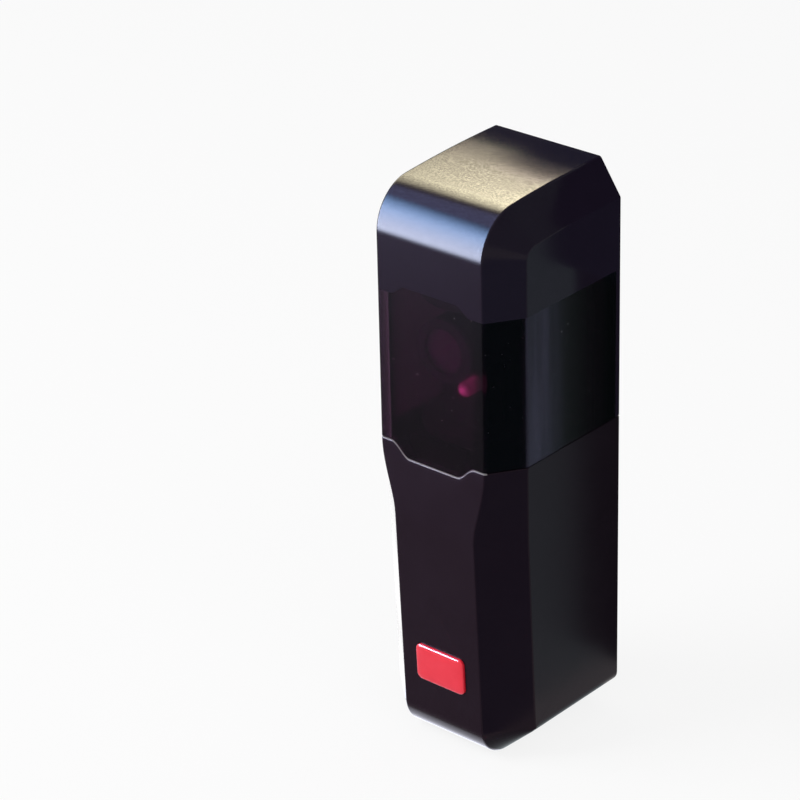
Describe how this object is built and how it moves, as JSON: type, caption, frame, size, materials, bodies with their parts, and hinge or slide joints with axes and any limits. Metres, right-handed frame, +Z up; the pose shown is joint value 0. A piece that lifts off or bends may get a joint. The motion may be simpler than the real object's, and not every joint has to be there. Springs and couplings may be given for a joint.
{
  "type": "gate photocell",
  "caption": "Slim wall-mounted gate photocell with a wrap-around tinted window, a bevelled satin black lower cover and a swivelling infrared eye inside.",
  "frame": {"origin": "on the wall face, midway between the wall-screw holes", "axes": "+Z up along the body, +Y into the wall, +X to the right seen from the front"},
  "size_m": [0.0346, 0.0346, 0.1172],
  "materials": {
    "tinted_window": "infrared-pass tint, polished window below a spark-textured top",
    "satin_black": "satin moulded black",
    "red_gloss": "red plate under a clear dome",
    "base_black": "matte moulded black",
    "black_rubber": "soft matte",
    "screw_steel": "zinc plated",
    "white_nylon": "natural nylon",
    "turret_black": "matte moulded dark grey",
    "lens_clear": "polished clear plastic",
    "board_green": "solder mask",
    "dark_epoxy": "moulded epoxy",
    "terminal_grey": "moulded grey",
    "clamp_brass": "plated",
    "relay_black": "moulded case",
    "can_aluminium": "drawn can",
    "lamp_red": "clear tinted epoxy",
    "lead_grey": "flexible sheath"
  },
  "bodies": {
    "housing": {"hood": "tinted_window", "lower_cover": "satin_black", "badge": "red_gloss", "base": "base_black", "rim_seal": "black_rubber", "cable_grommet": "black_rubber", "cover_screw": "screw_steel", "hood_screws": "screw_steel", "pivot_bridge": "base_black", "bridge_screws": "screw_steel", "friction_washer": "white_nylon", "main_board": "board_green", "board_screws": "screw_steel", "terminal_block": "terminal_grey", "terminal_screws": "screw_steel", "terminal_clamps": "clamp_brass", "relay": "relay_black", "capacitor": "can_aluminium", "microcontroller": "dark_epoxy", "jumper_pins": "dark_epoxy", "jumper_cap": "dark_epoxy", "lead_socket": "white_nylon", "lead_plug": "white_nylon", "optic_lead": "lead_grey"},
    "optic_head": {"optic_turret": "turret_black", "lens": "lens_clear", "lens_ring": "turret_black", "diode_board": "board_green", "photodiode": "dark_epoxy", "status_lamp": "lamp_red"}
  },
  "joints": [
    {"name": "optic_swivel", "type": "hinge", "parent": "housing", "child": "optic_head", "pos_m": [0, -0.019, 0.022], "axis": [0, 0, 1], "range_deg": [-90, 90]}
  ]
}
